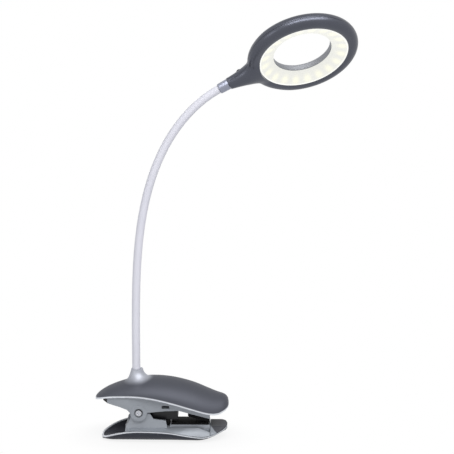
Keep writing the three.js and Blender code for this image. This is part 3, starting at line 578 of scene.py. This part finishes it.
spring_low, spring_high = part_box("torsion_spring")
lower_end, upper_end = spring_low.z / MM + WIRE, spring_high.z / MM - WIRE
lower_leg = (pivot.z + COIL * math.sin(FIRST_ANGLE) - lower_end) / math.cos(FIRST_ANGLE)
upper_leg = (upper_end - pivot.z - COIL * math.sin(LAST_ANGLE)) / math.cos(LAST_ANGLE) - 0.3
wire_line = [spring_line(t, lower_leg, upper_leg) for t in np.linspace(0, 1, 261)]
spring = swept("wound_spring", wire_line, WIRE, 12)
smooth(spring, 50)
wear(spring, plated("spring_wire", (150, 152, 158), 0.26, (2.0, 2.0, 2.0)))
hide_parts("torsion_spring")
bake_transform(spring)


# ---------------------------------------------------------------------------------------------
# Upper cover. A thin dome of metallic-painted plastic, moulded in one with the flared collar that
# the gooseneck stands in. It drops over the frame and is pulled down by two screws from inside.

upper_rim_points = [(-41.8, 40), (-27, 44.4), (-4, 46.6), (14, 45.6), (33, 41.8), (53, 35.9),
                    (70, 30.4), (81, 29.4), (91, 33.5)]
upper_outline = {"tail": -41.8, "front": 91.0, "half_width": 26.4, "taper": 0.2}
upper_rim = height_line(upper_rim_points)
hose_foot = Vector(joints["hose_bend_1"]["pos_m"]) / MM
HOSE_BORE = 4.3
COLLAR_TOP, COLLAR_SWEEP, SWEEP_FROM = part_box("upper_shell")[1].z / MM, 3.4, 67.5
DOME = {"height": 18.3, "bluntness": 0.38, "lean": 0.5, "lip": 0.05}
collar_profile = [(0, 52), (18, 52), (18, 56), (15, 58.2), (12.2, 60.2), (9.8, 62.3), (8.0, 64.5),
                  (6.8, 66.9), (6.1, 69), (5.8, 71.5), (0, 71.5)]


def upper_rise(x):
    """How far the dome stands over its rim at x, highest towards the front."""
    s = along_leaf(upper_outline, x)
    return DOME["lip"] + DOME["height"] * (1 - s * s) ** DOME["bluntness"] * (1 + DOME["lean"] * s)


def lathe(name, profile, around=96):
    """A body turned about Z from a profile of (radius, height); one clear of the axis makes a ring."""
    on_axis = profile[0][0] == 0
    loop = profile[1:-1] if on_axis else list(profile) + [profile[0]]
    turns = [2 * math.pi * j / around for j in range(around)]
    points = [(r * math.cos(a), r * math.sin(a), z) for r, z in loop for a in turns]
    if on_axis:
        faces = rings_to_faces(len(loop), around, len(points), len(points) + 1)
        return mesh_object(name, points + [(0, 0, profile[0][1]), (0, 0, profile[-1][1])], faces)
    count = len(profile)
    faces = [tuple(k % (count * around) for k in face) for face in rings_to_faces(len(loop), around)]
    return mesh_object(name, points[: count * around], faces)


upper_cover = leaf("upper_cover", upper_outline, upper_rim, upper_rise)
collar = lathe("collar", collar_profile)
for vertex in collar.data.vertices:
    vertex.co.x += COLLAR_SWEEP * clamped((SWEEP_FROM - vertex.co.z / MM) / 8) ** 2 * MM
cut(upper_cover, collar, "UNION")
melt(upper_cover, voxel=0.7, rounds=14)
cut(upper_cover, leaf("hollow", inset(upper_outline, WALL), lambda x: upper_rim(x) - 1,
                      lambda x: upper_rise(x) + 1 - WALL))
cut(upper_cover, rod("hose_bore", (hose_foot.x, 0, 40), (hose_foot.x, 0, 80), HOSE_BORE))
cut(upper_cover, rod("collar_face", (0, 0, COLLAR_TOP), (0, 0, 80), 20))
smooth(upper_cover, 50)


def collar_highlight(f):
    """1 on the collar, fading out where its flare meets the dome; there the collar is painted lighter,
    a painted highlight.
    """
    collar_middle = (1.5 * MM, 0, 0)
    return f.fade(f.distance(collar_middle, (1, 1, 0)), 16.0, 7.5)


# The bright band along the rim and the pale collar are painted highlights.
wear(upper_cover, painted_cover("upper_cover_paint", upper_rim_points, (2.5, 1.3), collar_highlight,
                                srgb(172, 175, 184), painted_light_matt=-0.1, depth=0.92, roughness=0.56))
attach(upper_cover, "upper_arm")
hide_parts("upper_shell")


# ---------------------------------------------------------------------------------------------
# Upper frame. The same pale moulding as the lower one: a top plate under the cover, two cheeks
# with round hinge bosses and the plate of the upper jaw. The near cheek has the charging slot.

upper_frame = softened("upper_frame", "upper_frame_moulding", 0.35)
# Its tail end, behind x = -29 mm, is painted dark as shade.
wear(upper_frame, satin_frame("satin_frame_with_painted_shade", stop=-29.0))
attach(upper_frame, "upper_arm")


# ---------------------------------------------------------------------------------------------
# Electrics in the clip. A black box under the frame's plate holds a foil-wrapped cell and the
# control board, whose tongue carries the charging inlet behind its slot.

def moulded_black(name, roughness):
    """Black engineering plastic with a spark-eroded texture."""
    f = Finish(name)
    spark = f.noise(1400.0, 2.0)
    scuff = f.noise(120.0, 4.0)
    return f.surface({"Base Color": f.mix(scuff, srgb(15, 16, 18), srgb(32, 33, 36)),
                      "Roughness": roughness + (scuff - 0.5) * 0.16,
                      "Normal": f.bump(spark, 0.25, 0.0002), "Specular IOR Level": 0.4})


def board_green(name):
    """Solder mask over copper tracks: green, with the tracks standing a little paler and higher."""
    f = Finish(name)
    cells = f.node("ShaderNodeTexVoronoi", {"distance": "MANHATTAN", "feature": "F1"},
                   {"Vector": f.place(), "Scale": 420.0}, "Distance")
    track = f.fade(cells, 0.45, 0.35, "LINEAR")
    return f.surface({"Base Color": f.mix(track, srgb(22, 78, 52), srgb(46, 122, 82)),
                      "Roughness": 0.32 + f.noise(300.0) * 0.1, "Normal": f.bump(track, 0.3, 0.0001)})


def foil_wrap(name):
    """The crinkled aluminium-laminate pouch of a lithium cell."""
    f = Finish(name)
    crinkle = f.noise(160.0, 4.0)
    return f.surface({"Base Color": f.mix(crinkle, srgb(176, 179, 185), srgb(206, 209, 214)),
                      "Roughness": 0.3 + crinkle * 0.15, "Metallic": 0.8,
                      "Normal": f.bump(crinkle, 0.3, 0.0004)})


def insulated_wire(name, dark, light):
    """A wire's coloured plastic jacket, smeared by handling."""
    f = Finish(name)
    smear = f.noise(200.0, 2.0)
    return f.surface({"Base Color": f.mix(smear, dark, light), "Roughness": 0.4 + smear * 0.15,
                      "Normal": f.bump(smear, 0.1, 0.0002)})


battery_box = softened("battery_box", "battery_housing", 0.4)
wear(battery_box, moulded_black("housing_black", 0.42))
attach(battery_box, "upper_arm")
dress(["battery_cell"], foil_wrap("cell_foil"))
dress(["control_board"], board_green("board_green"))
dress(["charging_inlet"], plated("inlet_steel", (120, 122, 128), 0.3))
dress(["base_lead", "head_lead"], insulated_wire("lead_red", srgb(140, 24, 24), srgb(176, 40, 36)))


# ---------------------------------------------------------------------------------------------
# Gooseneck. A flexible steel core in a smooth off-white sleeve, gripped in the collar by a nut. The
# sleeve is one run; it is made in stretches, each with one of the core's joints in its middle.

HOSE = {"foot": -9.0, "length": 302.0, "tilt": 61.0, "power": 2.65, "radius": 4.0, "bore": 2.9}
HOSE_JOINTS = 8
joint_lengths = [16 + 270 * k / (HOSE_JOINTS - 1) for k in range(HOSE_JOINTS)]
BEND_REACH = 15.0


def hose_point(length, steps=60):
    """The middle of the gooseneck at a length from the collar's mouth; it leans over more and more."""
    place = Vector((hose_foot.x, 0, COLLAR_TOP))
    for k in range(steps):
        at = max(0, length * (k + 0.5) / steps)
        angle = math.radians(HOSE["tilt"]) * (at / HOSE["length"]) ** HOSE["power"]
        place += Vector((math.sin(angle), 0, math.cos(angle))) * (length / steps)
    return place


def soft_sleeve(name):
    """Off-white silicone with a fine drag grain along its length."""
    f = Finish(name)
    drag = f.noise(180.0, 1.0)
    touch = f.noise(30.0, 3.0)
    return f.surface({"Base Color": f.mix(touch, srgb(218, 218, 229), srgb(228, 228, 236)),
                      "Roughness": 0.46 + (touch - 0.5) * 0.1 + (drag - 0.5) * 0.06,
                      "Normal": f.bump(drag, 0.05, 0.00005), "Specular IOR Level": 0.35})


sleeve_finish = soft_sleeve("sleeve_silicone")
halfway = [(a + b) / 2 for a, b in zip(joint_lengths, joint_lengths[1:])]
ends = [HOSE["foot"], *halfway, HOSE["length"] - 0.3]
for k, joint in enumerate(joint_lengths):
    middle = [hose_point(length) for length in np.linspace(ends[k], ends[k + 1], 27)]
    stretch = swept(f"gooseneck_sleeve_{k + 1}", middle, HOSE["radius"], 32, HOSE["bore"])
    smooth(stretch, 50)
    wear(stretch, sleeve_finish)
    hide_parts(*(["hose_sleeve_0"] if k == 0 else []), f"hose_sleeve_{k + 1}")
    hose_point(joint - BEND_REACH) * MM
    hose_point(joint + BEND_REACH) * MM
    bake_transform(stretch)
dress([f"hose_core_{k + 1}" for k in range(HOSE_JOINTS)] + ["hose_anchor", "hose_nut"],
      plated("core_steel", (160, 162, 168), 0.3, (1.0, 1.0, 4.0)))


# ---------------------------------------------------------------------------------------------
# Ferrule and swivel. A painted metal sleeve crimped on the gooseneck's end; its spigot turns in
# the head's neck, held by a spring clip.

neck_way = Vector(joints["head_swivel"]["axis"]).normalized()
seam = Vector(joints["head_swivel"]["pos_m"]) / MM
FERRULE_LENGTH = 10.0
ferrule_profile = [(4.05, 0.4), (4.3, 0.0), (4.7, 0.05), (4.88, 0.3), (4.94, 1.0), (5.2, 9.6),
                   (5.17, 9.85), (5.0, 9.95), (3.3, 9.95), (3.2, 10.3), (3.2, 17.4), (2.2, 17.4),
                   (2.2, 9.2), (2.9, 6.0), (4.05, 6.0)]
ferrule = lathe("swivel_ferrule", ferrule_profile, 64)
upright_to_neck = Vector((0, 0, 1)).rotation_difference(neck_way).to_matrix().to_4x4()
ferrule.data.transform(Matrix.Translation((seam - neck_way * FERRULE_LENGTH) * MM) @ upright_to_neck)
smooth(ferrule, 35)
wear(ferrule, painted_cover("ferrule_paint", depth=3.6, roughness=0.34, metallic=0.9))
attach(ferrule, "hose_8")
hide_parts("ferrule")
dress(["swivel_clip"], plated("clip_steel", (170, 172, 178), 0.22))


# ---------------------------------------------------------------------------------------------
# Head case. A round ring and the neck that flows out of it, moulded in two halves that snap
# together along a fine seam and painted like the clip's covers.

NECK_LENGTH, NECK_DROOP, SEAM_GAP = 23.9, math.radians(11.0), 0.3
RING_RADIUS, RING_OVERLAP = 52.4, 0.5
NECK_SEAM_HALF, NECK_WALL = 5.7, 1.2
WEB_START, WEB_END = -71, -26
BUTTON_ALONG, BUTTON_ROOM, SPIGOT_ROOM = 14, 2.9, 4.1
out_of_neck = -Vector(joints["button_press"]["axis"]).normalized()
ring_way = neck_way * math.cos(NECK_DROOP) - out_of_neck * math.sin(NECK_DROOP)
back_way = neck_way * math.sin(NECK_DROOP) + out_of_neck * math.cos(NECK_DROOP)
side_way = back_way.cross(ring_way)
ring_centre = seam + neck_way * (SEAM_GAP + NECK_LENGTH) + ring_way * (RING_RADIUS - RING_OVERLAP)
head_turn = Matrix((ring_way, side_way, back_way)).transposed().to_4x4()
head_place = Matrix.Translation(ring_centre * MM) @ head_turn

# The head is made lying flat, with the ring's middle at the origin and the neck towards -X.
in_neck = Vector((math.cos(NECK_DROOP), 0, math.sin(NECK_DROOP)))
square_to_neck = Vector((-math.sin(NECK_DROOP), 0, math.cos(NECK_DROOP)))
ring_edge = Vector((RING_OVERLAP - RING_RADIUS, 0, 0))
neck_seam = ring_edge - in_neck * NECK_LENGTH


def neck_loft(name, section, start, reach):
    """A run of the neck, bent from the seam into the plane of the ring."""
    rows, around = 44, 64
    bend, foot = ring_edge + Vector((0, 2.4, -1.4)), Vector((13 - RING_RADIUS, 0, 0))
    points = []
    for i in range(rows):
        t = start + (reach - start) * i / (rows - 1)
        middle = neck_seam * (1 - t) ** 2 + bend * 2 * t * (1 - t) + foot * t**2
        way = ((bend - neck_seam) * (1 - t) + (foot - bend) * t).normalized()
        wide, thick = section(t)
        out = Vector((-way.z, 0, way.x))
        for j in range(around):
            a = 2 * math.pi * j / around
            points.append(middle + out * thick * math.cos(a) + Vector((0, wide * math.sin(a), 0)))
    ends = [sum(points[:around], Vector()) / around, sum(points[-around:], Vector()) / around]
    return mesh_object(name, points + ends, rings_to_faces(rows, around, len(points), len(points) + 1))


def neck_outside(t):
    """Half the neck's width and half its thickness: round at the seam, fanning out to the ring."""
    t = max(0, t)
    wide = NECK_SEAM_HALF + 1.4 * min(1, 4 * t) + 27 * t**2.35
    return wide, NECK_SEAM_HALF + 2.8 * min(1, 2.4 * t)


def neck_inside(t):
    """The same for the hollow in the neck, which the wires and the switch lie in."""
    wide, thick = neck_outside(t)
    return min(wide - NECK_WALL, 8), min(thick - NECK_WALL, 10 - 10 * t)


def neck_point(along, out=0.0):
    """A point of the neck: its length from the seam and its height towards the back."""
    return neck_seam + in_neck * along + square_to_neck * out


def parting(way):
    """Everything behind the fine seam between the two halves, or everything in front of it."""
    lift = -1.0 if way > 0 else -1.25
    clear, tall = 60, 24 * way
    bend = ring_edge + Vector((2, 0, lift))
    tip = bend - in_neck * 40
    outline = [(clear, lift), (clear, tall), (tip.x, tall + tip.z), (tip.x, tip.z), (bend.x, bend.z)]
    points = [(x, y, z) for y in (-clear, clear) for x, z in outline]
    count = len(outline)
    faces = [tuple(range(count)), tuple(range(count, 2 * count))]
    faces += [(k, (k + 1) % count, count + (k + 1) % count, count + k) for k in range(count)]
    return mesh_object("parting", points, faces)


outside = curve_through([(31, 8.2), (39.5, 8.3), (46.9, 7.4), (51.6, 4.5), (53.2, 0.4), (52.5, -3.5),
                         (50.0, -6.2), (46.2, -7.1), (43.2, -6.6)], 6).tolist()
ring_profile = [(27.6, 0.9), (27.6, 6.2), (28.1, 7.3), (29.2, 8.0)] + outside + [(36, -3.0)]
channel_profile = [(29.4, -12), (42.7, -12), (42.7, -5.4), (45.1, -4.9), (48.6, -3.6), (50.0, -1.3),
                   (50.0, 1.2), (48.4, 3.7), (44.5, 5.4), (39.5, 6.3), (29.4, 6.3)]


def head_case():
    """The whole case, hollowed, with the web between neck and ring drawn smooth."""
    case = lathe("case", ring_profile, 144)
    cut(case, neck_loft("neck", neck_outside, -0.07, 1), "UNION")
    melt(case, voxel=0.75, rounds=4)
    web = case.vertex_groups.new(name="web")
    for vertex in case.data.vertices:
        x = vertex.co.x / MM
        weight = clamped((WEB_END - x) / 10) * clamped((x - WEB_START) / 8)
        web.add([vertex.index], weight, "REPLACE")
    ease = case.modifiers.new("web", "SMOOTH")
    ease.factor, ease.iterations, ease.vertex_group = 0.5, 70, "web"
    settle(case)
    case.vertex_groups.clear()
    cut(case, rod("seam_face", neck_point(-12), neck_point(0), 14))
    cut(case, lathe("channel", channel_profile, 144))
    cut(case, neck_loft("neck_hollow", neck_inside, 0.16, 0.68))
    cut(case, rod("spigot_room", neck_point(-2), neck_point(8.4), SPIGOT_ROOM))
    button_start, button_end = neck_point(BUTTON_ALONG), neck_point(BUTTON_ALONG, 12)
    return cut(case, rod("button_room", button_start, button_end, BUTTON_ROOM))


def case_half(name, node, way):
    """The back half of the case if the way is 1, the front half if it is -1."""
    half = cut(head_case(), parting(way), "INTERSECT")
    half.name = name
    half.data.transform(head_place)
    smooth(half, 40)
    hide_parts(node)
    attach(half, "head")
    return half


def round_the_ring(f):
    """A place on the head: how far it is from the ring's middle, and how far along and across."""
    where = f.vector("SUBTRACT", f.place(), ring_centre * MM)
    u, v = (f.vector("DOT_PRODUCT", where, way, "Value") / MM for way in (ring_way, side_way))
    return (u * u + v * v) ** 0.5, u, v


def hole_wall_diffuser_light(f):
    """1 on the wall of the ring's hole, which is painted bright as light from the diffuser beside it.
    """
    radius, _, _ = round_the_ring(f)
    return f.fade(radius, 28.7, 28.1)


# The bright wall of the ring's hole is painted light, from the diffuser beside it.
head_paint = painted_cover("head_paint", painted_light=hole_wall_diffuser_light, painted_light_colour=srgb(150, 152, 157),
                           painted_light_matt=0.25, depth=1.12, roughness=0.33, metallic=0.94)
wear(case_half("head_back", "head_cover", 1), head_paint)
wear(case_half("head_front", "head_bezel", -1), head_paint)


# ---------------------------------------------------------------------------------------------
# Diffuser. A milky cone-shaped ring that the LEDs behind it light up; each LED shows as a soft
# warm spot, and the rolled outer edge is the brightest line.

LED_CIRCLE, LED_COUNT, LED_SPREAD = 37.0, 20, 4.0


def glowing_milk(name):
    """Milky plastic lit from behind, with a spot for each LED and a bright lip."""
    f = Finish(name)
    radius, u, v = round_the_ring(f)
    pulse = f.math("COSINE", f.math("ARCTAN2", v, u) * LED_COUNT + math.pi) * 0.5 + 0.5
    off_circle = (radius - LED_CIRCLE) / LED_SPREAD
    spot = pulse ** 1.2 * f.math("EXPONENT", off_circle * off_circle * -1)
    mottle = f.noise(50.0, 3.0)
    glow = f.mix(spot, srgb(226, 226, 219), srgb(255, 252, 226))
    glow = f.mix(f.fade(radius, 40.8, 41.7), glow, srgb(255, 255, 250))
    milk = f.surface({"Base Color": f.mix(mottle, srgb(150, 150, 148), srgb(162, 162, 159)),
                      "Roughness": 0.42 + mottle * 0.1, "Normal": f.bump(f.noise(700.0), 0.05, 0.0002),
                      "Emission Color": glow, "Emission Strength": 0.8})
    milk.cycles.emission_sampling = "NONE"
    return milk


front = curve_through([(42.4, -5.4), (42.35, -6.1), (41.9, -6.3), (41.3, -5.95), (40.5, -5.3),
                       (36, -3.4), (31, -1.3), (28.7, -0.2), (27.9, 0.4), (28.1, 0.65)], 6).tolist()
back = [(30, 0.55), (40.4, -3.9), (41.9, -3.3), (45.0, -3.4), (45.0, -4.2), (42.4, -4.4)]
diffuser = lathe("milky_diffuser", front + back, 144)
diffuser.data.transform(head_place)
smooth(diffuser, 45)
wear(diffuser, glowing_milk("milky_glow"))
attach(diffuser, "head")
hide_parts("diffuser")


# ---------------------------------------------------------------------------------------------
# LED board, its screws, and the push button with its switch. The board is screwed to posts in the
# back half; the button sits in its hole on the back of the neck.

dress(["led_board"], board_green("led_board_green"))
dress([f"board_screw_{k}" for k in (1, 2, 3)], plated("board_screw_steel", (180, 182, 188), 0.24))
dress(["button_switch"], moulded_black("switch_black", 0.5))
button = softened("power_button", "push_button", 0.35)
wear(button, rubber("button_rubber", srgb(30, 31, 34), srgb(48, 49, 53), 1600.0, 0.5))
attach(button, "button")


# ---------------------------------------------------------------------------------------------
# Studio. A white floor runs out to a white surround. A wide soft lamp hangs in front, a narrow one
# overhead draws the long highlights, and a small one on the left lights the tail of the clip.

FLOOR_HALF, FLOOR_GLOW = 4000, 0.84


def seen_directly(f):
    """1 for what the camera sees, also in a gloss or through a clear piece, and 0 for stray light."""
    rays = ("Is Camera Ray", "Is Glossy Ray", "Is Transmission Ray")
    camera, glossy, clear = (f.node("ShaderNodeLightPath", out=ray) for ray in rays)
    return f.math("MAXIMUM", camera, f.math("MAXIMUM", glossy, clear))


def floor_white():
    """White paper that mostly glows; near the clip some of it is lit, so that a shadow shows."""
    f = Finish("floor_white")
    clip_middle = (24 * MM, 0, 0)
    far = f.fade(f.distance(clip_middle, (1, 1.8, 1)), 50, 110)
    paper = f.mix(f.noise(300.0, 2.0), srgb(242, 242, 243), srgb(248, 248, 249))
    lit = f.node("ShaderNodeBsdfPrincipled", {}, {"Base Color": paper, "Roughness": 0.9,
                                                  "Specular IOR Level": 0.1})
    glow = f.node("ShaderNodeEmission", {}, {"Color": (1, 1, 1, 1), "Strength": 1.0})
    share = (FLOOR_GLOW + far * (1 - FLOOR_GLOW)) * seen_directly(f)
    either = f.node("ShaderNodeMixShader", {}, {0: share, 1: lit, 2: glow})
    f.node("ShaderNodeOutputMaterial", {}, {"Surface": either})
    return f.owner


corners = [(-1, -1), (1, -1), (1, 1), (-1, 1)]
floor = mesh_object("floor", [(x * FLOOR_HALF, y * FLOOR_HALF, 0) for x, y in corners], [(0, 1, 2, 3)])
wear(floor, floor_white())


def lamp(name, location, target, size, power):
    """A rectangular soft lamp at one place, turned to another, that the camera doesn't see."""
    light = bpy.data.lights.new(name, "AREA")
    light.shape, (light.size, light.size_y), light.energy = "RECTANGLE", size, power
    holder = bpy.data.objects.new(name, light)
    holder.location = location
    holder.rotation_euler = (Vector(target) - Vector(location)).to_track_quat("-Z", "Y").to_euler()
    holder.visible_camera = False
    bpy.context.scene.collection.objects.link(holder)


lamp("softbox", (0.5, -1.4, 1.6), (0.1, 0, 0.25), size=(2.5, 0.46), power=27)
lamp("overhead", (0.25, -0.5, 1.5), (0.16, 0, 0.4), size=(2.0, 0.17), power=8)
lamp("side", (-1.2, -1.0, 0.5), (0.05, 0, 0.2), size=(0.5, 0.5), power=1.6)

surround = Finish("surround", "worlds")
dim = surround.node("ShaderNodeBackground", {}, {"Color": (0.95, 0.97, 1, 1), "Strength": 0.2})
white = surround.node("ShaderNodeBackground", {}, {"Color": (1, 1, 1, 1), "Strength": 1.0})
either = surround.node("ShaderNodeMixShader", {}, {0: seen_directly(surround), 1: dim, 2: white})
surround.node("ShaderNodeOutputWorld", {}, {"Surface": either})
bpy.context.scene.world = surround.owner

camera_data = bpy.data.cameras.new("camera")
camera_data.lens, camera_data.sensor_width = 95.8, 36
camera = bpy.data.objects.new("camera", camera_data)
camera.location = (0.0878, -1.150, 0.4328)
camera.rotation_euler = (math.radians(79.2), math.radians(-0.2), 0)
bpy.context.scene.collection.objects.link(camera)
bpy.context.scene.camera = camera
bpy.context.scene.view_settings.view_transform = "Standard"
